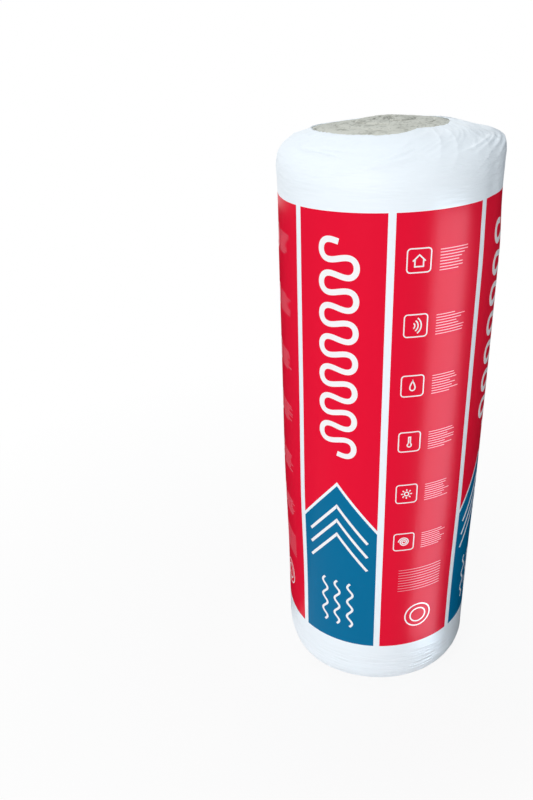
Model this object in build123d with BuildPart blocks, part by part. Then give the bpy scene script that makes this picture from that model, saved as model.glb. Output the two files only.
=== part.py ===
# Insulation roll: a stone wool blanket wound up without a core and held in a
# sleeve of packing film. The film is drawn in over both ends and leaves an
# uneven hole in the middle of each, where the turns of the blanket show.
# The roll stands on one end. Origin: centre of the foot, +Z up along the
# winding axis. Azimuths are counted from -Y round towards +X.
import os
from math import cos, pi, radians, sin

from build123d import *

# The roll as packed, film included
roll_diameter = 430.0
roll_height = 1200.0
foot_radius = 52.0
shoulder_side_radius = 63.0
shoulder_top_radius = 114.0
shoulder_side_sweep = 45.0
crown_slope = 6.4

# The blanket, wound up under pressure. The seam between its turns is cut into
# both ends, and its tail is a step down the side
blanket_length = 4000.0
eye_diameter = 24.0
seam_width = 2.5
seam_depth = 50.0
tail_depth = 12.0
tail_azimuth = 118.0

# Under the film, each arc of the shoulder and the foot is pressed into flats
shoulder_flats = 2
foot_flats = 3

# The film, with a lap where its outer end is welded down
film_thickness = 0.5
film_slack = 0.3
lap_width = 60.0
lap_azimuth = 135.0

# Radii of the film's edge round each hole, at equal steps of azimuth
top_edge_radii = [133, 103, 108, 110, 123, 130, 134, 136, 140, 144, 138, 134]
foot_edge_radii = [128, 121, 117, 124, 133, 136, 129, 122, 119, 126, 134, 135]

roll_radius = roll_diameter / 2
eye_radius = eye_diameter / 2
wool_inset = film_thickness + film_slack
wool_radius = roll_radius - wool_inset

# The length that the roll holds sets how far the turns are pressed together
turn_thickness = pi * (wool_radius**2 - eye_radius**2) / blanket_length

# The crown is a shallow arc from the axis out to the start of the shoulder
shoulder_top_sweep = 90 - shoulder_side_sweep - crown_slope
shoulder_side_width = shoulder_side_radius * (1 - cos(radians(shoulder_side_sweep)))
shoulder_top_width = shoulder_top_radius * (
    cos(radians(shoulder_side_sweep)) - sin(radians(crown_slope))
)
crown_reach = roll_radius - shoulder_side_width - shoulder_top_width
crown_radius = crown_reach / sin(radians(crown_slope))


def rounds(inset, mode):
    """Arcs of the half section on the +X side: crown, the shoulder's two, and foot."""
    top = (0, roll_height - inset)
    crown = JernArc(top, (1, 0), crown_radius - inset, -crown_slope, mode=mode)
    upper = JernArc(
        crown @ 1,
        crown % 1,
        shoulder_top_radius - inset,
        -shoulder_top_sweep,
        mode=mode,
    )
    lower = JernArc(
        upper @ 1,
        upper % 1,
        shoulder_side_radius - inset,
        -shoulder_side_sweep,
        mode=mode,
    )
    side_end = (roll_radius - inset, foot_radius)
    foot = JernArc(side_end, (0, -1), foot_radius - inset, -90, mode=mode)
    return crown, upper, lower, foot


def smooth_section(inset):
    """Half section of the packed roll, drawn in by an inset all round."""
    with BuildSketch(Plane.XZ) as half:
        with BuildLine():
            crown, upper, lower, foot = rounds(inset, Mode.ADD)
            Line(lower @ 1, foot @ 0)
            Polyline(foot @ 1, (0, inset), crown @ 0)
        make_face()
    return half.sketch


def pressed_section(inset):
    """The same half section with flats for the arcs of the shoulder and the foot."""
    with BuildSketch(Plane.XZ) as half:
        with BuildLine():
            crown, upper, lower, foot = rounds(inset, Mode.PRIVATE)
            add(crown)
            shoulder = [
                arc @ (i / shoulder_flats)
                for arc in (upper, lower)
                for i in range(shoulder_flats)
            ]
            corner = [foot @ (i / foot_flats) for i in range(foot_flats + 1)]
            Polyline(*shoulder, lower @ 1, *corner, (0, inset), crown @ 0)
        make_face()
    return half.sketch


def edge_ring(radii):
    """Uneven edge of a hole in the film: arcs, each through three of its points."""
    step = 2 * pi / len(radii)
    points = [(r * sin(i * step), -r * cos(i * step)) for i, r in enumerate(radii)]
    for i in range(0, len(points), 2):
        ThreePointArc(points[i], points[i + 1], points[(i + 2) % len(points)])


# Seam between the turns: a spiral of half circles on two centres, which starts
# at the eye and ends in a square cut across the outermost turn. Between the ends
# of the roll only the outer edge of that cut is left, as the step of the tail
half_turn_growth = turn_thickness / 2
first_radius = eye_radius + half_turn_growth / 2 - seam_width / 2
last_radius = wool_radius - turn_thickness - half_turn_growth / 2
half_turns = int((last_radius - first_radius) / half_turn_growth) + 1
with BuildPart() as seam:
    with BuildSketch(Plane.XY.rotated((0, 0, tail_azimuth - 90))):
        with BuildLine():
            for i in range(half_turns):
                # the last half turn ends on the +X side, where the tail is
                left_half = (half_turns - i) % 2 == 0
                CenterArc(
                    (half_turn_growth / 2 * (-1 if left_half else 1), 0),
                    first_radius + i * half_turn_growth,
                    0 if left_half else 180,
                    180,
                )
            spiral_end = (
                half_turn_growth / 2 + first_radius + (half_turns - 1) * half_turn_growth
            )
            Line((spiral_end, 0), (roll_radius, 0))
        trace(line_width=seam_width)
    extrude(amount=roll_height)
    with Locations((0, 0, roll_height / 2)):
        Cylinder(
            radius=wool_radius - tail_depth,
            height=roll_height - 2 * seam_depth,
            mode=Mode.SUBTRACT,
        )

# Stone wool blanket, wound up tight
with BuildPart() as wool_roll:
    revolve(pressed_section(wool_inset), axis=Axis.Z)
    Hole(radius=eye_radius)
    add(seam.part, mode=Mode.SUBTRACT)
wool_roll.part.label = "wool_roll"

# The lap stands one film thickness proud of the sleeve. It is made as a wedge
# of the roll, from the top of the foot's corner up, and hollowed with the sleeve
lap_arc = lap_width / roll_radius * 180 / pi
with BuildPart() as lap:
    with BuildSketch(Plane.XZ):
        add(smooth_section(-film_thickness))
        with Locations((0, foot_radius)):
            Rectangle(
                2 * roll_diameter,
                roll_height,
                align=(Align.CENTER, Align.MAX),
                mode=Mode.SUBTRACT,
            )
    revolve(axis=Axis.Z, revolution_arc=lap_arc)

# Film sleeve, smooth outside and creased together where the wool is pressed flat
with BuildPart() as film_sleeve:
    revolve(smooth_section(0), axis=Axis.Z)
    add(lap.part, rotation=(0, 0, lap_azimuth - 90 - lap_arc / 2))
    revolve(pressed_section(film_thickness), axis=Axis.Z, mode=Mode.SUBTRACT)
    with BuildSketch(Plane.XY.offset(roll_height / 2)):
        with BuildLine():
            edge_ring(top_edge_radii)
        make_face()
    extrude(amount=roll_height, mode=Mode.SUBTRACT)
    with BuildSketch(Plane.XY.offset(roll_height / 2)):
        with BuildLine():
            edge_ring(foot_edge_radii)
        make_face()
    extrude(amount=-roll_height, mode=Mode.SUBTRACT)
film_sleeve.part.label = "film_sleeve"

os.makedirs("parts", exist_ok=True)
for piece in (wool_roll, film_sleeve):
    export_step(piece.part, f"parts/{piece.part.label}.step")

print("turn thickness", round(turn_thickness, 2), "half turns", half_turns)
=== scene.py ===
from math import cos, pi, radians, sin

import bpy
import numpy as np
from mathutils import Matrix, Vector


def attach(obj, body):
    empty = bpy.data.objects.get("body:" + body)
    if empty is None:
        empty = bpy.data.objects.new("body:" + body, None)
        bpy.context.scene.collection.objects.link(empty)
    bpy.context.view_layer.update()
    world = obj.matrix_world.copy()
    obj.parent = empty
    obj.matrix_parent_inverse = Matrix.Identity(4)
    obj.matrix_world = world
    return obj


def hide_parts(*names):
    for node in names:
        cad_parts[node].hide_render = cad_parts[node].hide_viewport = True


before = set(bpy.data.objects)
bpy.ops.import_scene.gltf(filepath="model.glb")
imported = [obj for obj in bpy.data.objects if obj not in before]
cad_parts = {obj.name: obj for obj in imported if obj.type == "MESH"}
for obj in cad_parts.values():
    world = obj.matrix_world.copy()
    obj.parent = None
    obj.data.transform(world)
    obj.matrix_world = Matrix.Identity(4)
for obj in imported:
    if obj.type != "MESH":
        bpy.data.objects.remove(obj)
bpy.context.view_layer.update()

# Camera
# A 35 mm lens stands 1.5 m in front of the roll and 0.2 m above its top. It looks
# down, a little to the left of the roll, and is held slightly askew.
camera_place = Vector((0, -1.4992, 1.3949))
camera_yaw, camera_pitch, camera_roll = radians(-9.3717), radians(27.0816), radians(-2.3488)

camera_data = bpy.data.cameras.new("camera")
camera_data.sensor_width = 36
camera_data.lens = 34.84
camera = bpy.data.objects.new("camera", camera_data)
bpy.context.collection.objects.link(camera)
ahead = Vector(
    (
        sin(camera_yaw) * cos(camera_pitch),
        cos(camera_yaw) * cos(camera_pitch),
        -sin(camera_pitch),
    )
)
level_right = Vector((cos(camera_yaw), -sin(camera_yaw), 0))
level_up = level_right.cross(ahead)
right = cos(camera_roll) * level_right + sin(camera_roll) * level_up
up = cos(camera_roll) * level_up - sin(camera_roll) * level_right
camera_turn = Matrix((right, up, -ahead)).transposed().to_4x4()
camera.matrix_world = Matrix.Translation(camera_place) @ camera_turn
bpy.context.scene.camera = camera

# Film sleeve
# Packing film of white polyethylene, 0.1 mm thick and printed in panels. It is
# wrapped round the wool, welded in a lap up the back, shrunk on, and drawn in
# over both ends in pleats, where it leaves an uneven hole.

# The profile's measures are those of the CAD model, in metres
roll_radius = 0.215
foot_radius = 0.052
shoulder_side_radius = 0.063
shoulder_top_radius = 0.114
crown_radius = 1.15409
shoulder_side_sweep = radians(45)
crown_sweep = radians(6.4)
shoulder_top_sweep = pi / 2 - shoulder_side_sweep - crown_sweep
side_top = 1.1155779
side_height = side_top - foot_radius

# The profile is one path from the axis at the foot, out, up and in to the axis at
# the top. Each part of it has a length and turns the path's direction evenly
path_parts = np.array(
    [
        (roll_radius - foot_radius, 0),
        (foot_radius * pi / 2, pi / 2),
        (side_height, 0),
        (shoulder_side_radius * shoulder_side_sweep, shoulder_side_sweep),
        (shoulder_top_radius * shoulder_top_sweep, shoulder_top_sweep),
        (crown_radius * crown_sweep, crown_sweep),
    ]
)
path_ends = np.concatenate([[0], np.cumsum(path_parts[:, 0])])
path_turns = np.concatenate([[0], np.cumsum(path_parts[:, 1])])
foot_flat_end, foot_arc_end, side_end, shoulder_side_end, shoulder_end, path_length = path_ends[1:]

# Radius and height along the path, added up in 16000 steps of 0.1 mm
path_steps = np.linspace(0, path_length, 16001)
step_turns = np.interp(path_steps, path_ends, path_turns)
step_middles = (step_turns[1:] + step_turns[:-1]) / 2
path_radii = np.concatenate([[0], np.cumsum(np.cos(step_middles))]) * path_steps[1]
path_heights = np.concatenate([[0], np.cumsum(np.sin(step_middles))]) * path_steps[1]


def on_roll(azimuth, path, lift):
    """Points on the roll: the profile's radius and height at a length along its path, moved out along the
    profile's normal by the lift, and turned round the axis by the azimuth from -Y towards +X."""
    turn = np.interp(path, path_ends, path_turns)
    radius = np.interp(path, path_steps, path_radii) + lift * np.sin(turn)
    height = np.interp(path, path_steps, path_heights) - lift * np.cos(turn)
    azimuth, radius, height = np.broadcast_arrays(azimuth, radius, height)
    return np.stack([radius * np.sin(azimuth), -radius * np.cos(azimuth), height], axis=-1)


def path_at_height(height):
    """Length along the path at a height on the straight side."""
    return foot_arc_end + height - foot_radius


def path_on_top(radius):
    """Length along the path at a radius on the shoulder or the crown. The radius shrinks along the path
    there, so the lookup runs backwards."""
    past_side = path_steps > side_end
    return np.interp(radius, path_radii[past_side][::-1], path_steps[past_side][::-1])


def patches(azimuth, along, cells, size, seed):
    """Soft noise from 0 to 1: random values on a lattice with so many cells round the roll and one cell for
    each size along it, blended between them by a smooth step. It closes on itself round the roll."""
    cells_along, first_cell = 1024, 300
    table = np.random.default_rng(seed).random((cells, cells_along))
    x = azimuth / (2 * pi) * cells
    y = along / size + first_cell
    x0, y0 = np.floor(x).astype(int), np.floor(y).astype(int)
    fx, fy = x - x0, y - y0
    fx, fy = fx * fx * (3 - 2 * fx), fy * fy * (3 - 2 * fy)
    x0, x1 = x0 % cells, (x0 + 1) % cells
    y0, y1 = y0 % cells_along, (y0 + 1) % cells_along
    near = table[x0, y0] * (1 - fx) + table[x1, y0] * fx
    far = table[x0, y1] * (1 - fx) + table[x1, y1] * fx
    return near * (1 - fy) + far * fy


def creases(azimuth, along, cells, size, seed, sharpness):
    """Thin ridges from 0 to 1 along the lines on which the soft noise is a half, thinner with more
    sharpness."""
    return (1 - np.abs(2 * patches(azimuth, along, cells, size, seed) - 1)) ** sharpness


def rise(value, start, end):
    """A smooth step from 0 at the start to 1 at the end."""
    t = np.clip((value - start) / (end - start), 0, 1)
    return t * t * (3 - 2 * t)


def around(azimuth, middle, width):
    """A bump of height 1 round an azimuth, with the section of a normal curve. Middle and half width are in
    degrees."""
    away = (np.degrees(azimuth) - middle + 180) % 360 - 180
    return np.exp(-((away / width) ** 2))


# The print is coloured panels, one every 183 mm, with 13 mm of bare film between
# them. It leans by a few millimetres, and meets itself out of step at the lap.
# Widths and places round the roll are in degrees of azimuth, heights in metres
print_foot, print_top, print_skew = 0.125, 1.082, 0.004
panel_pitch, panel_gap, first_gap = 48.7, 3.5, 2.7
gable_eaves, gable_peak, gable_line = 0.43, 0.535, 0.009

# The lap: its free end, the start of the film under it, the width of the edge at
# each, and how far the doubled film stands proud, which is drawn thicker than the
# film is, so that it shows
lap_end, lap_start = 127.0, 143.0
lap_edge, lap_slope = 0.07, 1.2
lap_step = 0.0007

# Columns run up the roll on the edges of the panels and of the lap, and are
# spread evenly between them, 2.6 mm apart
column_width = 0.68
panel_numbers = np.arange(-5, 3)
gap_middles = first_gap + panel_pitch * np.arange(-4, 3)
lap_marks = [lap_end - 360, lap_end - 360 + lap_edge, lap_start - 360, lap_start - 360 + lap_slope, lap_end]
column_marks = np.unique(
    np.round(
        np.concatenate(
            [
                gap_middles - panel_gap / 2,
                gap_middles + panel_gap / 2,
                first_gap + panel_pitch * (panel_numbers + 0.5),
                lap_marks,
            ]
        ),
        4,
    )
)
column_spans = [
    np.linspace(low, high, max(1, round((high - low) / column_width)), endpoint=False)
    for low, high in zip(column_marks[:-1], column_marks[1:])
]
columns = np.concatenate(column_spans)
azimuths = np.radians(columns)

# Folds that stand out by themselves: where each starts and ends, in degrees of
# azimuth and in millimetres up the path from the end of the straight side, how
# far it bends up between them, and its height and half width in millimetres
drawn_folds = np.array(
    [
        (34, 53, 76, 74, 1.0, 2.6, 2.6),
        (46, 50, 80, 70, 1.5, 3.0, 2.4),
        (55, 44, 86, 64, 2.0, 3.0, 2.4),
        (62, 36, 92, 58, 2.5, 2.6, 2.6),
        (-26, 26, 14, 58, -2.0, 4.0, 5.0),
        (-8, 46, 14, 76, -2.0, 2.6, 2.8),
        (-58, 58, -34, 56, 1.0, 2.4, 1.8),
        (-46, 61, -20, 51, 1.0, 2.6, 1.8),
        (-40, 67, -12, 60, 1.0, 2.2, 1.8),
        (-70, 8, -52, 1, 0.0, 1.2, 2.0),
        (-70, -4, -50, -12, 0.0, 1.2, 2.0),
        (-72, -15, -54, -22, 0.0, 1.0, 2.0),
        (100, 60, 132, 78, 2.0, 2.2, 2.8),
        (150, 52, 186, 74, 1.0, 2.2, 2.8),
        (196, 66, 228, 54, 2.0, 2.0, 2.8),
        (236, 48, 262, 70, 1.0, 2.0, 2.6),
    ]
)


def fold(azimuth, path, first, first_up, last, last_up, bend, height, width):
    """One fold: a ridge with the section of a normal curve along a shallow arc from its first point to its
    last, which runs out softly at both ends."""
    share = ((np.degrees(azimuth) - first) % 360) / (last - first)
    inside = np.clip(share, 0, 1)
    middle = first_up + (last_up - first_up) * inside + bend * 4 * inside * (1 - inside)
    away = (path - side_end) * 1000 - middle
    fade = np.where(share < 1, np.sin(pi * inside) ** 0.7, 0)
    return height / 1000 * fade * np.exp(-((away / width) ** 2))


# Swellings and dents of the soft roll: the full right shoulder, the left one, the
# waist below that, a dent at the front right, and the bulge of the foot. Each has
# a height in metres, a middle and half width in degrees, and a middle and half
# width along the path from the end of the straight side, in metres
soft_bumps = [
    (0.0127, 85, 44, 0.054, 0.0215),
    (0.0042, -80, 40, 0.044, 0.028),
    (-0.007, -78, 27, -0.0085, 0.07),
    (-0.0025, 60, 6, -0.005, 0.04),
    (0.004, -38, 22, -side_height - 0.03, 0.03),
]


def settled(azimuth, path):
    """How the soft roll departs from an even one, in wool and film alike: its swellings and dents, a crown
    that sinks at the rear left, a left side pressed in from the shoulder down, a right side pressed in
    below its shoulder, and a foot drawn in all round. Steps along the path are smooth ones."""
    up = path - side_end
    bumps = sum(
        height * around(azimuth, middle, width) * np.exp(-(((up - place) / spread) ** 2))
        for height, middle, width, place, spread in soft_bumps
    )
    sunk = 0.011 * around(azimuth, -125, 50) + 0.003 * around(azimuth, 165, 50)
    crown = sunk * rise(up, 0.06, 0.13) * (1 - rise(up, 0.13, 0.24))
    left = 0.0068 * around(azimuth, -78, 27) * rise(up, 0.004, -0.115)
    right = 0.006 * around(azimuth, 80, 34) * rise(up, -0.16, -0.02) * (1 - rise(up, 0, 0.05))
    foot = 0.004 * rise(up, -0.6, -0.9)
    return bumps - crown - left - right - foot


def film_lift(azimuth, path):
    """How far the film stands off the plain profile: the soft roll's own shape, a slow swell, pleats drawn
    round the shoulder towards the top hole, fine creases that lean across them, level creases round the
    foot, single folds, and the doubled film of the lap, with its free end curled up a little beside the
    groove of the weld. Film that lies on the floor keeps only its creases, turned inwards. Heights are in
    metres, and each noise is given its cells round the roll, its size along it and its seed."""
    up = path - side_end
    swell = 0.0012 * (patches(azimuth, path, 7, 0.23, 1) - 0.5)
    top = rise(up, -0.02, 0.11)
    pleats = 0.0012 * top * creases(azimuth - 3 * up, path, 34, 0.12, 2, 3)
    fine = 0.0007 * rise(up, -0.02, 0.05) * creases(azimuth - 9 * up, path, 60, 0.03, 3, 3)
    foot = 1 - rise(path, foot_flat_end, foot_arc_end + 0.05)
    hoops = 0.0012 * foot * creases(azimuth, path, 14, 0.012, 4, 3)
    lift = settled(azimuth, path) + swell + pleats + fine + hoops - 0.001 * top
    for each in drawn_folds:
        lift = lift + fold(azimuth, path, *each)
    # degrees past the free end of the lap, where the film steps up between the first two columns
    past_end = np.degrees(azimuth) - lap_end + 360
    lap_reach = lap_start - lap_end
    lap = lap_step * (1 - rise(past_end, lap_reach, lap_reach + lap_slope))
    curl = 0.0016 * (1 - rise(past_end, 0, 2.5)) * patches(azimuth * 0, path, 4, 0.045, 6)
    weld = -0.0005 * np.exp(-(((past_end - 4) / 0.8) ** 2))
    on_lap = past_end > lap_edge / 2
    off_floor = rise(path, foot_flat_end, foot_arc_end - 0.02)
    return off_floor * (lift + on_lap * (lap + curl + weld)) - 0.8 * (1 - off_floor) * hoops


# Radii in millimetres of the film's edge round each hole, at equal steps of azimuth from -Y
top_edge_radii = [133, 103, 108, 110, 117, 130, 144, 158, 160, 145, 138, 134]
foot_edge_radii = [128, 121, 117, 124, 133, 136, 129, 122, 119, 126, 134, 135]


def hole_edge(azimuth, radii, seed):
    """Radius of the film's uneven edge: the twelve radii joined round the axis by a Catmull-Rom spline,
    with nicks of soft noise, 40 and 150 of them round the roll."""
    place = (azimuth / (2 * pi)) % 1 * len(radii)
    low = np.floor(place).astype(int)
    blend = place - low
    p = [np.take(radii, low + k, mode="wrap") / 1000 for k in (-1, 0, 1, 2)]
    curve = (
        p[1]
        + 0.5 * blend * (p[2] - p[0])
        + blend**2 * (p[0] - 2.5 * p[1] + 2 * p[2] - 0.5 * p[3])
        + blend**3 * (1.5 * (p[1] - p[2]) + 0.5 * (p[3] - p[0]))
    )
    nicks = sum(
        0.0035 * (patches(azimuth, azimuth * 0, cells, 1, seed + i) - 0.5)
        for i, cells in enumerate((40, 150))
    )
    return curve + nicks


def panel_of(column):
    """Number of the panel that a column starts in, and whether the column is on its print and not in a gap.
    A hundredth of a degree covers the rounding of the columns."""
    number = np.floor((column - first_gap) / panel_pitch)
    within = (column - first_gap) % panel_pitch
    inked = (within > panel_gap / 2 - 0.01) & (within < panel_pitch - panel_gap / 2 - 0.01)
    return number.astype(int), inked


def gable(column):
    """Height of the edge of the foot zone: a roof over each panel, up to a ridge in its middle, and level
    between panels."""
    within = (column - first_gap) % panel_pitch
    share = 1 - np.abs(within - panel_pitch / 2) / (panel_pitch / 2 - panel_gap / 2)
    return gable_eaves + (gable_peak - gable_eaves) * np.clip(share, 0, 1)


# Rows of points run round the roll on these lines: the foot's hole, the end of the
# flat, the print's foot, the roof and the white line on it, the print's top, the
# start of the shoulder, and the top hole. Others lie evenly between them
skew = print_skew * np.sin(azimuths)
foot_hole = hole_edge(azimuths, foot_edge_radii, 21)
top_hole_path = path_on_top(hole_edge(azimuths, top_edge_radii, 11))
lines = [
    foot_hole,
    foot_flat_end + 0 * azimuths,
    path_at_height(print_foot + skew),
    path_at_height(gable(columns) + skew),
    path_at_height(gable(columns) + gable_line + skew),
    path_at_height(print_top + skew),
    side_end + 0.01 + 0 * azimuths,
    top_hole_path,
]
rows_between = [10, 46, 9, 1, 16, 14, 66]
rows = np.concatenate(
    [
        low + (high - low) * (np.arange(count) / count)[:, None]
        for low, high, count in zip(lines[:-1], lines[1:], rows_between)
    ]
    + [lines[-1][None]]
)
# the edge of the top hole rides up on the wool that swells out of it
outer_lift = film_lift(azimuths, rows) + 0.0012 * rise(rows, top_hole_path - 0.02, top_hole_path)

# The edge is rolled over in a small hem, and a plain inner skin, out of sight in the
# wool, closes the film
hem = 0.0007
skin_depth = 0.003
inner_ends = np.array(
    [
        shoulder_end,
        shoulder_end - 0.02,
        shoulder_end - 0.04,
        shoulder_end - 0.06,
        shoulder_side_end - 0.01,
        shoulder_side_end - 0.03,
        side_end,
        foot_arc_end,
        foot_arc_end - 0.02,
        foot_arc_end - 0.04,
        foot_arc_end - 0.06,
        foot_flat_end,
    ]
)
inner_rows = inner_ends[:, None] + 0 * azimuths
hem_rows = top_hole_path + np.array([hem, 1.2 * hem, 0.8 * hem, -0.004])[:, None]
foot_hem_rows = foot_hole + np.array([0.004, -0.8 * hem, -1.2 * hem, -hem])[:, None]


def hem_lifts(edge_lift, inner_lift):
    """Lifts of a hem's rows, which fall from that of the film's edge to a little under the even roll."""
    return np.stack(
        [
            0.9 * edge_lift,
            0.6 * edge_lift - hem / 2,
            0.3 * edge_lift - hem,
            inner_lift - 0.0012,
        ]
    )


top_hem_lift = hem_lifts(outer_lift[-1], settled(azimuths, hem_rows[-1]))
foot_hem_lift = hem_lifts(outer_lift[0], 0 * azimuths)[::-1]
inner_lift = settled(azimuths, inner_rows) - skin_depth
all_rows = np.concatenate([rows, hem_rows, inner_rows, foot_hem_rows])
all_lift = np.concatenate([outer_lift, top_hem_lift, inner_lift, foot_hem_lift])


def woven_mesh(name, points, materials, face_materials=None):
    """Mesh of a grid of points that closes on itself both ways, like the skin of a ring: each point is
    joined to the next one in its row and in its column, and the last to the first."""
    down, across = points.shape[:2]
    index = np.arange(down * across).reshape(down, across)
    right_of, above = np.roll(index, -1, axis=1), np.roll(index, -1, axis=0)
    corner = np.roll(right_of, -1, axis=0)
    faces = np.stack([index, right_of, corner, above], axis=-1).reshape(-1, 4)
    mesh = bpy.data.meshes.new(name)
    mesh.from_pydata(points.reshape(-1, 3), [], faces)
    for material in materials:
        mesh.materials.append(material)
    if face_materials is not None:
        mesh.polygons.foreach_set("material_index", face_materials.ravel().astype(np.int32))
    mesh.shade_smooth()
    mesh.update()
    piece = bpy.data.objects.new(name, mesh)
    bpy.context.collection.objects.link(piece)
    return piece


def hex_colour(value):
    """Linear colour of an sRGB hex value, by the sRGB curve."""
    parts = [int(value[i : i + 2], 16) / 255 for i in (1, 3, 5)]
    return [c / 12.92 if c <= 0.04045 else ((c + 0.055) / 1.055) ** 2.4 for c in parts] + [1]


def add_node(tree, kind, settings=(), links=()):
    """Adds a node of a kind, sets its properties or input sockets by name, and links its inputs from other
    sockets."""
    node = tree.nodes.new(kind)
    for key, value in dict(settings).items():
        if isinstance(key, str) and hasattr(node, key):
            setattr(node, key, value)
        else:
            node.inputs[key].default_value = value
    for key, socket in dict(links).items():
        tree.links.new(socket, node.inputs[key])
    return node


def film_material(name, colour, roughness, bump, specular=0.4, gathered=False):
    """Polyethylene film, blown and shrunk on, or the ink printed on it: smooth and glossy, with the faint
    long ripples of stretched film, one in 16 mm. Where the film is gathered it has level creases too, 7 mm
    apart and some 60 mm long."""
    material = bpy.data.materials.new(name)
    material.use_nodes = True
    tree = material.node_tree
    tree.nodes.clear()
    place = add_node(tree, "ShaderNodeTexCoord")
    ripples = add_node(
        tree,
        "ShaderNodeTexNoise",
        {"Scale": 1 / 0.016, "Detail": 3, "Roughness": 0.55},
        {"Vector": place.outputs["Object"]},
    )
    relief = add_node(
        tree,
        "ShaderNodeBump",
        {"Strength": bump, "Distance": 0.001},
        {"Height": ripples.outputs["Fac"]},
    )
    if gathered:
        squeezed = add_node(
            tree,
            "ShaderNodeVectorMath",
            {"operation": "MULTIPLY", 1: (1 / 0.06, 1 / 0.06, 1 / 0.007)},
            {0: place.outputs["Object"]},
        )
        level = add_node(
            tree,
            "ShaderNodeTexNoise",
            {"Scale": 1, "Detail": 2, "Roughness": 0.5},
            {"Vector": squeezed.outputs["Vector"]},
        )
        share = add_node(tree, "ShaderNodeAttribute", {"attribute_name": "gathered"})
        relief = add_node(
            tree,
            "ShaderNodeBump",
            {"Distance": 0.003},
            {
                "Height": level.outputs["Fac"],
                "Strength": share.outputs["Fac"],
                "Normal": relief.outputs["Normal"],
            },
        )
    shader = add_node(
        tree,
        "ShaderNodeBsdfPrincipled",
        {
            "Base Color": hex_colour(colour),
            "Roughness": roughness,
            "IOR": 1.5,
            "Specular IOR Level": specular,
        },
        {"Normal": relief.outputs["Normal"]},
    )
    add_node(tree, "ShaderNodeOutputMaterial", (), {"Surface": shader.outputs["BSDF"]})
    return material


# The bare film is a cool milky white with a soft gloss. The inks, printed on it by
# flexography, are deep and even, and dull the gloss
white_film = film_material("white_polyethylene_film", "#F0F8FE", 0.36, 0.15, 0.22, gathered=True)
red_ink = film_material("red_flexo_ink", "#E60E33", 0.32, 0.05, 0.06)
blue_ink = film_material("blue_flexo_ink", "#006C99", 0.32, 0.05, 0.06)

# Faces between the print's lines are inked: 1 is red, 2 is blue below the roof on
# every other panel, and 0 is bare film, which also makes the white line on the roof
row_ends = np.cumsum(rows_between)
row_numbers = np.arange(len(all_rows))[:, None]
panels, inked = panel_of(columns)
gabled = (panels % 2 == 1) & inked
ink = ((row_numbers >= row_ends[1]) & (row_numbers < row_ends[4]) & inked) * 1
ink[(row_numbers >= row_ends[1]) & (row_numbers < row_ends[2]) & gabled] = 2
ink[(row_numbers >= row_ends[2]) & (row_numbers < row_ends[3]) & gabled] = 0

film = woven_mesh(
    "film_sleeve_wrap",
    on_roll(azimuths, all_rows, all_lift),
    (white_film, red_ink, blue_ink),
    ink,
)
gathered = film.data.attributes.new("gathered", "FLOAT", "POINT")
share_gathered = 1 - rise(all_rows, foot_arc_end + 0.03, foot_arc_end + 0.07)
share_gathered = share_gathered + 0.7 * rise(all_rows, side_end - 0.06, side_end + 0.02)
gathered.data.foreach_set("value", share_gathered.ravel().astype(np.float32))
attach(film, "root")
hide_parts("film_sleeve")

# White print
# White ink over the coloured panels: a batt's zigzag of padding and roof lines on
# one kind of panel, small signs for what the wool does and ruled lines on the
# other. Each mark is a thin skin of ink on the film.
ink_proud, ink_sunk = 0.00022, 0.0004


def line(x0, z0, x1, z1, count):
    """Straight run between two points, as a row of points. x is in metres to the right of the panel's
    middle, z is the height."""
    return np.linspace((x0, z0), (x1, z1), count)


def arc(x, z, radius, start, end, count):
    """Part of a circle about a point, from one angle to another in degrees."""
    turn = np.radians(np.linspace(start, end, count))
    return np.stack([x + radius * np.cos(turn), z + radius * np.sin(turn)], axis=-1)


def padding_line(x, low, high, reach, pitch):
    """The draughtsman's sign for padding: a line that swings from side to side in round loops, each a sine
    across and a double sine along."""
    turn = np.linspace(0, round((high - low) / pitch) * 2 * pi, 700)
    along = turn / (2 * pi) * pitch - pitch * 0.15 * np.sin(2 * turn)
    return np.stack([x + reach * np.sin(turn), low + along], axis=-1)


def divided(points, closed, step=0.0025):
    """The same run of points with more of them, spaced no further apart than the step, so that it follows
    the roll."""
    ring = np.concatenate([points, points[:1]]) if closed else points
    spans = np.linalg.norm(np.diff(ring, axis=0), axis=1)
    counts = np.maximum(1, np.ceil(spans / step)).astype(int)
    ends = np.concatenate([[0], np.cumsum(spans)])
    marks = np.concatenate(
        [
            low + span * np.arange(count) / count
            for low, span, count in zip(ends[:-1], spans, counts)
        ]
        + [[] if closed else ends[-1:]]
    )
    return np.stack([np.interp(marks, ends, ring[:, 0]), np.interp(marks, ends, ring[:, 1])], axis=-1)


def rounded_square(x, z, size, corner):
    """Square frame with rounded corners, as a closed row of points."""
    reach = size / 2 - corner
    parts = [
        arc(x + sx * reach, z + sz * reach, corner, start, start + 90, 6)
        for sx, sz, start in ((1, 1, 0), (-1, 1, 90), (-1, -1, 180), (1, -1, 270))
    ]
    return np.concatenate(parts)


def drop(x, z, size):
    """Water drop: a circle that is drawn up to a point at the top."""
    turn = np.linspace(0, 2 * pi, 40, endpoint=False)
    across = 0.62 * np.sin(turn) * np.sin(turn / 2) ** 1.3
    return np.stack([x + size * across, z + size * (0.9 * np.cos(turn) + 0.05)], axis=-1)


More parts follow.
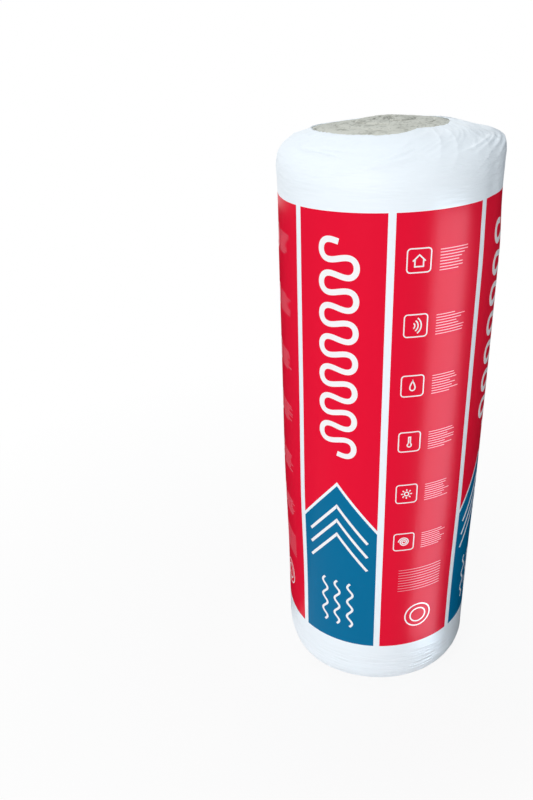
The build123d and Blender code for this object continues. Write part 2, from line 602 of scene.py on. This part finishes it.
# Marks of one small sign each, about its own middle, as (points, closed) pairs: a
# house, waves of sound, a drop, a thermometer, a sun, and a roll seen from its end
unit = 0.018
rolled_turn = np.linspace(0, 5 * pi, 70)
rolled = np.stack([np.cos(rolled_turn), np.sin(rolled_turn)], axis=-1)
signs = [
    [
        (np.array([(-0.62, -0.05), (0, 0.55), (0.62, -0.05)]) * unit, False),
        (np.array([(-0.42, 0.1), (-0.42, -0.58), (0.42, -0.58), (0.42, 0.1)]) * unit, False),
    ],
    [(arc(-0.45 * unit, 0, r * unit, -52, 52, 16), False) for r in (0.35, 0.68, 1.0)],
    [(drop(0, 0, 0.6 * unit), True)],
    [
        (arc(0, -0.38 * unit, 0.22 * unit, 118, 422, 24), False),
        (np.array([(-0.1, -0.15), (-0.1, 0.58), (0.1, 0.58), (0.1, -0.15)]) * unit, False),
    ],
    [(arc(0, 0, 0.24 * unit, 0, 345, 20), True)]
    + [
        (np.array([(cos(t) * 0.4, sin(t) * 0.4), (cos(t) * 0.62, sin(t) * 0.62)]) * unit, False)
        for t in np.arange(8) * pi / 4
    ],
    [(np.linspace(0.1, 0.62, 70)[:, None] * rolled * unit, False)],
]

# All marks of a panel about its middle, as (points, closed, width) with heights up
# from the floor. A panel with a roof has the padding line, three lines that run
# with the roof below it, and three wavy lines
roof_marks = [(padding_line(0, 0.61, 1.03, 0.034, 0.06), False, 0.011)]
panel_reach = roll_radius * radians((panel_pitch - panel_gap) / 2)
run = 0.066
fall = (gable_peak - gable_eaves) * run / panel_reach
for level in (0.05, 0.085, 0.12):
    ridge = gable_peak - level
    roof_marks.append((np.array([(-run, ridge - fall), (0, ridge), (run, ridge - fall)]), False, 0.006))
wave_foot, wave_top, wave_pitch = 0.17, 0.29, 0.04
wave = np.linspace(wave_foot, wave_top, 40)
sway = 0.006 * np.sin((wave - wave_foot) / wave_pitch * 2 * pi)
for x in (-0.03, 0, 0.03):
    roof_marks.append((np.stack([x + sway, wave], axis=-1), False, 0.005))

# A panel without a roof has the six signs in their frames, with two rings below
sign_top, sign_pitch, sign_left = 1.0, 0.118, -0.043
frame_size, frame_corner = 0.042, 0.006
sign_marks = []
for number, sign in enumerate(signs):
    middle = np.array([sign_left, sign_top - number * sign_pitch])
    sign_marks.append((rounded_square(*middle, frame_size, frame_corner), True, 0.0022))
    sign_marks += [(points + middle, closed, 0.0024) for points, closed in sign]
ring_height = 0.205
sign_marks.append((arc(0, ring_height, 0.03, 0, 355, 60), True, 0.003))
sign_marks.append((arc(0, ring_height, 0.018, 0, 355, 40), True, 0.003))

# Ruled lines, drawn in a half tone: eight of uneven length beside each sign, and
# nine full ones below them all
beside_top, beside_pitch, beside_left = 1.016, 0.0052, -0.005
below_top, below_pitch, below_reach = 0.335, 0.007, 0.05
ruled_marks = []
lengths = 0.062 * np.random.default_rng(5).uniform(0.6, 1.0, (len(signs), 8))
for number in range(len(signs)):
    for row in range(8):
        z = beside_top - number * sign_pitch - row * beside_pitch
        ruled_marks.append((line(beside_left, z, beside_left + lengths[number, row], z, 16), False, 0.0013))
for row in range(9):
    z = below_top - row * below_pitch
    ruled_marks.append((line(-below_reach, z, below_reach, z, 24), False, 0.0014))


def inked_mesh(name, marks_of_panels, material):
    """Mesh of all marks: each runs a flat four sided section along its points, mitred at the corners, wraps
    it round the roll and lays it just proud of the film. A mark that meets the end of the film at the lap
    is cut there, a fifth of a degree short of the end."""
    all_points, all_faces, first = [], [], 0
    for middle, marks in marks_of_panels:
        for points, closed, width in marks:
            points = divided(points, closed)
            turn = radians(middle) + points[:, 0] / roll_radius
            kept = (turn > radians(lap_end - 359.8)) & (turn < radians(lap_end - 0.2))
            if not kept.all():
                closed = False
            for run in np.split(np.arange(len(points)), np.flatnonzero(np.diff(kept.astype(int))) + 1):
                if not kept[run[0]] or len(run) < 2:
                    continue
                flat = points[run]
                before = flat - np.roll(flat, 1, axis=0)
                after = np.roll(flat, -1, axis=0) - flat
                if not closed:
                    before[0], after[-1] = after[0], before[-1]
                before /= np.linalg.norm(before, axis=1)[:, None]
                after /= np.linalg.norm(after, axis=1)[:, None]
                across = before + after
                across = across[:, ::-1] * (-1, 1) / (1 + (before * after).sum(axis=1))[:, None]
                sides = np.stack([flat - across * width / 2, flat + across * width / 2], axis=1)
                azimuth = radians(middle) + sides[..., 0] / roll_radius
                path = path_at_height(sides[..., 1])
                lift = film_lift(azimuth, path)
                top = on_roll(azimuth, path, lift + ink_proud)
                low = on_roll(azimuth, path, lift - ink_sunk)
                section = np.stack([top[:, 0], top[:, 1], low[:, 1], low[:, 0]], axis=1)
                count = len(section)
                index = first + np.arange(count * 4).reshape(count, 4)
                beside = np.roll(index, -1, axis=1)
                above, above_beside = np.roll(index, -1, axis=0), np.roll(beside, -1, axis=0)
                spans = count if closed else count - 1
                quads = np.stack([index, beside, above_beside, above], axis=-1)[:spans]
                all_faces.append(quads.reshape(-1, 4))
                if not closed:
                    all_faces.append(np.stack([index[0][::-1], index[-1]]))
                all_points.append(section.reshape(-1, 3))
                first += count * 4
    mesh = bpy.data.meshes.new(name)
    mesh.from_pydata(np.concatenate(all_points), [], np.concatenate(all_faces))
    mesh.materials.append(material)
    mesh.shade_smooth()
    mesh.set_sharp_from_angle(angle=radians(40))
    piece = bpy.data.objects.new(name, mesh)
    bpy.context.collection.objects.link(piece)
    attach(piece, "root")
    return piece


panel_middles = {number: first_gap + panel_pitch * (number + 0.5) for number in panel_numbers}

# Plain white ink, and the same ink printed in dots too fine to see, which the eye
# blends with the red to a pink
white_ink = film_material("white_flexo_ink", "#F4F4F6", 0.35, 0.05)
half_tone = film_material("half_tone_white_flexo_ink", "#EE8C9C", 0.35, 0.05)
inked_mesh(
    "print_white_marks",
    [(middle, roof_marks if number % 2 else sign_marks) for number, middle in panel_middles.items()],
    white_ink,
)
inked_mesh(
    "print_ruled_lines",
    [(middle, ruled_marks) for number, middle in panel_middles.items() if number % 2 == 0],
    half_tone,
)

# Wool roll
# One blanket of stone wool, 50 mm thick, wound up tight round nothing. Its turns
# show in the hole of the film, with a groove between them, and swell a little
# where no film holds them.

# The eye that the winding leaves, the blanket's thickness as pressed in the pack,
# and the place of its tail, all as in the CAD model
eye_radius = 0.012
turn_thickness = 0.03592
tail_azimuth = radians(118)

# Under the film the wool lies 4.5 mm inside the even roll. In the top hole it swells
# into a cushion as high, whose rim lies 1.5 mm deep, and at the foot it stays 3 mm in
wool_depth, cushion_height = 0.0045, 0.0045
rim_depth, foot_depth = 0.0015, 0.003

# Rows of the top lie 1.3 mm apart in the hole, and those of the foot 2.3 mm. The
# rest of the wool is out of sight under the film, and needs few
wool_columns = 480
wool_azimuths = np.arange(wool_columns) / wool_columns * 2 * pi
inner_radius = 0.0122
wool_radii = np.concatenate([np.linspace(inner_radius, 0.165, 122), np.linspace(0.17, 0.19, 3)])[:, None]
foot_wool_radii = np.concatenate([np.linspace(inner_radius, 0.14, 56), [0.155]])[:, None]


def wound_end(azimuth, radius, seed):
    """Relief of a wound end, and how pale each point is: each turn a little higher or lower than the next
    and crowned across its width, a groove at the spiral seam, layers and strands of fibre that run along
    the turn, as long soft noise, and rounder tufts and pits. The paleness follows the layers, strands and
    tufts, and is darkened in the seam's groove and in the pits as painted shade."""
    turn = (radius - eye_radius) / turn_thickness - (azimuth - tail_azimuth) / (2 * pi)
    number = np.floor(turn)
    share = turn - number
    crowned = 0.0014 * (1 - (2 * share - 1) ** 2)
    step = 0.0016 * (np.random.default_rng(seed).random(32)[number.astype(int) + 8] - 0.5)
    seam = np.exp(-((np.minimum(share, 1 - share) * turn_thickness / 0.0018) ** 2))
    layers = patches(azimuth, radius, 44, 0.0042, seed + 1) - 0.5
    strands = patches(azimuth, radius, 150, 0.0026, seed + 2) - 0.5
    tufts = patches(azimuth, radius, 26, 0.017, seed + 3) - 0.5
    pits = creases(azimuth, radius, 46, 0.016, seed + 4, 16)
    fibres = 0.0005 * layers + 0.0004 * strands + 0.0007 * tufts - 0.0004 * pits
    # the turns near the middle are darker
    near_middle = np.exp(-((radius / 0.06) ** 2))
    # the paleness is darkened in the seam's groove and in the pits: painted shade
    pale = 0.55 + 0.3 * layers + 0.35 * strands + 0.28 * tufts - 0.18 * seam - 0.06 * pits
    return crowned + step - 0.003 * seam + fibres, pale - 0.2 * near_middle


def freed(radius, edge):
    """How free the wool is: 1 in the hole, and 0 from 8 mm past the film's edge."""
    return 1 - rise(radius, edge - 0.001, edge + 0.008)


# The wool swells out of the top hole like a cushion, less on the side where the
# shoulder holds it
wool_edge = hole_edge(wool_azimuths, top_edge_radii, 11)
top_wool_path = path_on_top(wool_radii) + 0 * wool_azimuths
top_relief, top_pale = wound_end(wool_azimuths, wool_radii, 31)
share_out = np.clip(wool_radii / wool_edge, 0, 1)
held = 0.7 * around(wool_azimuths, 120, 60) * share_out**2
cushion = cushion_height * (1 - share_out**8) * (1 - held)
free_wool = freed(wool_radii, wool_edge)
top_wool_lift = free_wool * (top_relief - rim_depth + cushion) - wool_depth * (1 - free_wool)
top_wool_lift = top_wool_lift + settled(wool_azimuths, top_wool_path)

# At the foot the wool stays inside the film, clear of the floor
foot_wool_path = foot_wool_radii + 0 * wool_azimuths
foot_relief, foot_pale = wound_end(wool_azimuths, foot_wool_radii, 41)
free_foot = freed(foot_wool_radii, hole_edge(wool_azimuths, foot_edge_radii, 21))
foot_wool_lift = free_foot * (0.6 * foot_relief - foot_depth) - wool_depth * (1 - free_foot)

# Between them a plain side closes the wool, out of sight
side_ends = np.array(
    [
        foot_flat_end,
        foot_arc_end - 0.06,
        foot_arc_end - 0.04,
        foot_arc_end - 0.02,
        foot_arc_end,
        side_end,
        shoulder_side_end - 0.03,
        shoulder_side_end - 0.01,
        shoulder_end - 0.06,
        shoulder_end - 0.05,
    ]
)
side_path = side_ends[:, None] + 0 * wool_azimuths
wool_body = np.concatenate(
    [
        on_roll(wool_azimuths, foot_wool_path, foot_wool_lift),
        on_roll(wool_azimuths, side_path, settled(wool_azimuths, side_path) - wool_depth),
        on_roll(wool_azimuths, top_wool_path[::-1], top_wool_lift[::-1]),
    ]
)
wool_pale = np.concatenate([foot_pale, 0 * side_path + 0.5, top_pale[::-1]])


def wool_material():
    """Stone wool, spun from molten rock and bound with a little resin: matt grey-beige fibre, paler where
    its layers stand out and darker near the middle, with painted shade in the seam's groove and the pits,
    tufts 11 mm across and dark specks of unspun rock, one in 5 mm or so."""
    material = bpy.data.materials.new("stone_wool_fibre")
    material.use_nodes = True
    tree = material.node_tree
    tree.nodes.clear()
    place = add_node(tree, "ShaderNodeTexCoord")
    # the pale attribute holds the tone of the layers, strands and tufts, with painted shade in the seam's
    # groove and the pits
    layers = add_node(tree, "ShaderNodeAttribute", {"attribute_name": "pale"})
    tufts = add_node(
        tree,
        "ShaderNodeTexNoise",
        {"Scale": 1 / 0.011, "Detail": 6, "Roughness": 0.7},
        {"Vector": place.outputs["Object"]},
    )
    blend = add_node(
        tree,
        "ShaderNodeMath",
        {"operation": "MULTIPLY_ADD", 1: 0.9},
        {0: tufts.outputs["Fac"], 2: layers.outputs["Fac"]},
    )
    tint = add_node(tree, "ShaderNodeValToRGB", (), {"Fac": blend.outputs[0]})
    tint.color_ramp.elements[0].position = 0.62
    tint.color_ramp.elements[0].color = hex_colour("#A3A49B")
    tint.color_ramp.elements[1].position = 0.96428571
    tint.color_ramp.elements[1].color = hex_colour("#D1D2C9")
    specks = add_node(
        tree,
        "ShaderNodeTexNoise",
        {"Scale": 1 / 0.0048, "Detail": 2, "Roughness": 0.5},
        {"Vector": place.outputs["Object"]},
    )
    dark = add_node(tree, "ShaderNodeValToRGB", (), {"Fac": specks.outputs["Fac"]})
    dark.color_ramp.elements[0].position = 0.25
    dark.color_ramp.elements[0].color = hex_colour("#6A655C")
    dark.color_ramp.elements[1].position = 0.34
    dark.color_ramp.elements[1].color = hex_colour("#FFFFFF")
    both = add_node(
        tree,
        "ShaderNodeMix",
        {"data_type": "RGBA", "blend_type": "MULTIPLY", "Factor": 0.8},
        {6: tint.outputs["Color"], 7: dark.outputs["Color"]},
    )
    relief = add_node(
        tree,
        "ShaderNodeBump",
        {"Strength": 0.6, "Distance": 0.0015},
        {"Height": tufts.outputs["Fac"]},
    )
    shader = add_node(
        tree,
        "ShaderNodeBsdfPrincipled",
        {"Roughness": 1.0, "Specular IOR Level": 0.1},
        {"Base Color": both.outputs[2], "Normal": relief.outputs["Normal"]},
    )
    add_node(tree, "ShaderNodeOutputMaterial", (), {"Surface": shader.outputs["BSDF"]})
    return material


wool = woven_mesh("wool_roll_blanket", wool_body, (wool_material(),))
pale = wool.data.attributes.new("pale", "FLOAT", "POINT")
pale.data.foreach_set("value", wool_pale.ravel().astype(np.float32))
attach(wool, "root")
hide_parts("wool_roll")

# Floor and light
# A plain pale floor in a white studio. The camera, reflections and glass see both as white, with a part of
# the roll's shadow left on the floor, but for a black patch of painted shade that all rays except the
# camera's see.
floor_mesh = bpy.data.meshes.new("floor")
floor_mesh.from_pydata([(-6, -6, 0), (6, -6, 0), (6, 6, 0), (-6, 6, 0)], [], [(0, 1, 2, 3)])
floor = bpy.data.objects.new("floor", floor_mesh)
bpy.context.collection.objects.link(floor)


def white_rays(tree):
    """The Light Path node, and a socket that is 1 for the rays that see white: those from the camera, of
    reflections and through glass."""
    rays = add_node(tree, "ShaderNodeLightPath")
    seen = add_node(
        tree,
        "ShaderNodeMath",
        {"operation": "MAXIMUM"},
        {0: rays.outputs["Is Camera Ray"], 1: rays.outputs["Is Glossy Ray"]},
    )
    seen_all = add_node(
        tree,
        "ShaderNodeMath",
        {"operation": "MAXIMUM"},
        {0: seen.outputs[0], 1: rays.outputs["Is Transmission Ray"]},
    )
    return rays, seen_all.outputs[0]


# Matt pale paint. Its white is a tenth less near the roll, so that the shadow shows
floor_material = bpy.data.materials.new("pale_floor")
floor_material.use_nodes = True
tree = floor_material.node_tree
tree.nodes.clear()
rays, seen_white = white_rays(tree)
place = add_node(tree, "ShaderNodeTexCoord")
away = add_node(tree, "ShaderNodeVectorMath", {"operation": "LENGTH"}, {0: place.outputs["Object"]})
near_roll = add_node(
    tree,
    "ShaderNodeMapRange",
    {"From Min": 0.4, "From Max": 1.6, "To Min": 0.9, "To Max": 1.0},
    {"Value": away.outputs["Value"]},
)
glow_share = add_node(
    tree,
    "ShaderNodeMath",
    {"operation": "MULTIPLY"},
    {0: seen_white, 1: near_roll.outputs[0]},
)
paint = add_node(tree, "ShaderNodeBsdfDiffuse", {"Color": hex_colour("#DEDEDE")})
glow = add_node(tree, "ShaderNodeEmission", {"Color": hex_colour("#FFFFFF"), "Strength": 1.0})
mixed = add_node(
    tree,
    "ShaderNodeMixShader",
    (),
    {0: glow_share.outputs[0], 1: paint.outputs[0], 2: glow.outputs[0]},
)
# painted shade: a round black patch with a soft edge, painted into the floor to the right of the roll for
# all rays but the camera's, keeps that side of the film darker and deep in colour in reflections and
# bounced light
from_shade_patch = add_node(
    tree,
    "ShaderNodeVectorMath",
    {"operation": "DISTANCE", 1: (0.62, 0.12, 0)},
    {0: place.outputs["Object"]},
)
shade_patch = add_node(
    tree,
    "ShaderNodeMapRange",
    {"From Min": 0.4, "From Max": 0.6, "To Min": 1.0, "To Max": 0.0},
    {"Value": from_shade_patch.outputs["Value"]},
)
unseen = add_node(
    tree,
    "ShaderNodeMath",
    {"operation": "SUBTRACT", 0: 1.0},
    {1: rays.outputs["Is Camera Ray"]},
)
shade_patch_share = add_node(
    tree,
    "ShaderNodeMath",
    {"operation": "MULTIPLY"},
    {0: shade_patch.outputs[0], 1: unseen.outputs[0]},
)
black = add_node(tree, "ShaderNodeBsdfDiffuse", {"Color": hex_colour("#101010")})
with_shade_patch = add_node(
    tree,
    "ShaderNodeMixShader",
    (),
    {0: shade_patch_share.outputs[0], 1: mixed.outputs[0], 2: black.outputs[0]},
)
add_node(tree, "ShaderNodeOutputMaterial", (), {"Surface": with_shade_patch.outputs[0]})
floor_mesh.materials.append(floor_material)

# The studio lights the roll softly from all round
world = bpy.data.worlds.new("studio")
bpy.context.scene.world = world
world.use_nodes = True
tree = world.node_tree
tree.nodes.clear()
rays, seen_white = white_rays(tree)
soft = add_node(tree, "ShaderNodeBackground", {"Color": hex_colour("#F4FAFF"), "Strength": 0.55})
plain = add_node(tree, "ShaderNodeBackground", {"Color": hex_colour("#FFFFFF"), "Strength": 1.0})
mixed = add_node(
    tree,
    "ShaderNodeMixShader",
    (),
    {0: seen_white, 1: soft.outputs[0], 2: plain.outputs[0]},
)
add_node(tree, "ShaderNodeOutputWorld", (), {"Surface": mixed.outputs[0]})


def lamp(name, kind, energy, colour, direction):
    """A lamp that shines in a direction, at the origin until it is placed."""
    data = bpy.data.lights.new(name, kind)
    data.energy = energy
    data.color = hex_colour(colour)[:3]
    light = bpy.data.objects.new(name, data)
    light.rotation_euler = Vector(direction).to_track_quat("-Z", "Y").to_euler()
    bpy.context.collection.objects.link(light)
    return light


# Two wide soft lights: a window at the front left, and a fill from above and behind
window = lamp("window", "SUN", 1.54, "#FFFBF8", (0.35, 0.92, -0.31))
window.data.angle = radians(50)
fill = lamp("fill", "SUN", 0.8, "#FFFFFF", (0.2, -0.45, -0.87))
fill.data.angle = radians(50)
fill.visible_glossy = False

# Dark cards stand upright on both sides of the roll, and one lies low on the left.
# Only reflections see them, and the film's edges stay deep in colour
card_foot = [(0.225, 0.25, 0), (0.8, -0.35, 0), (-0.8, -0.35, 0), (-0.225, 0.25, 0)]
card_top = [(x, y, 1.8 if x > 0 else 1.0) for x, y, _ in card_foot]
card_low = [(-0.2, 0.1, 0.001), (-0.26, -0.04, 0.001), (-0.62, -0.16, 0.001), (-0.225, 0.25, 0.001)]
card_mesh = bpy.data.meshes.new("card")
card_mesh.from_pydata(card_foot + card_top + card_low, [], [(0, 1, 5, 4), (2, 3, 7, 6), (8, 9, 10, 11)])
card = bpy.data.objects.new("card", card_mesh)
bpy.context.collection.objects.link(card)
black_card = bpy.data.materials.new("black_card")
black_card.use_nodes = True
tree = black_card.node_tree
tree.nodes.clear()
matt = add_node(tree, "ShaderNodeBsdfDiffuse", {"Color": hex_colour("#101010")})
add_node(tree, "ShaderNodeOutputMaterial", (), {"Surface": matt.outputs[0]})
card_mesh.materials.append(black_card)
card.visible_camera = False
card.visible_diffuse = False
card.visible_shadow = False

# A tall narrow lamp at the front right shows only as the streak of gloss up the film
streak_place = Vector((0.215, -0.2244, 0.535))
streak_aim = Vector((0.128, -0.1744, 0.535))
streak = lamp("streak", "AREA", 4.0, "#D9EEFF", streak_aim - streak_place)
streak.location = streak_place
streak.data.shape = "RECTANGLE"
streak.data.size, streak.data.size_y = 0.135, 1.05
streak.data.spread = radians(130)
streak.visible_camera = False
streak.visible_diffuse = False

bpy.context.scene.view_settings.view_transform = "Standard"
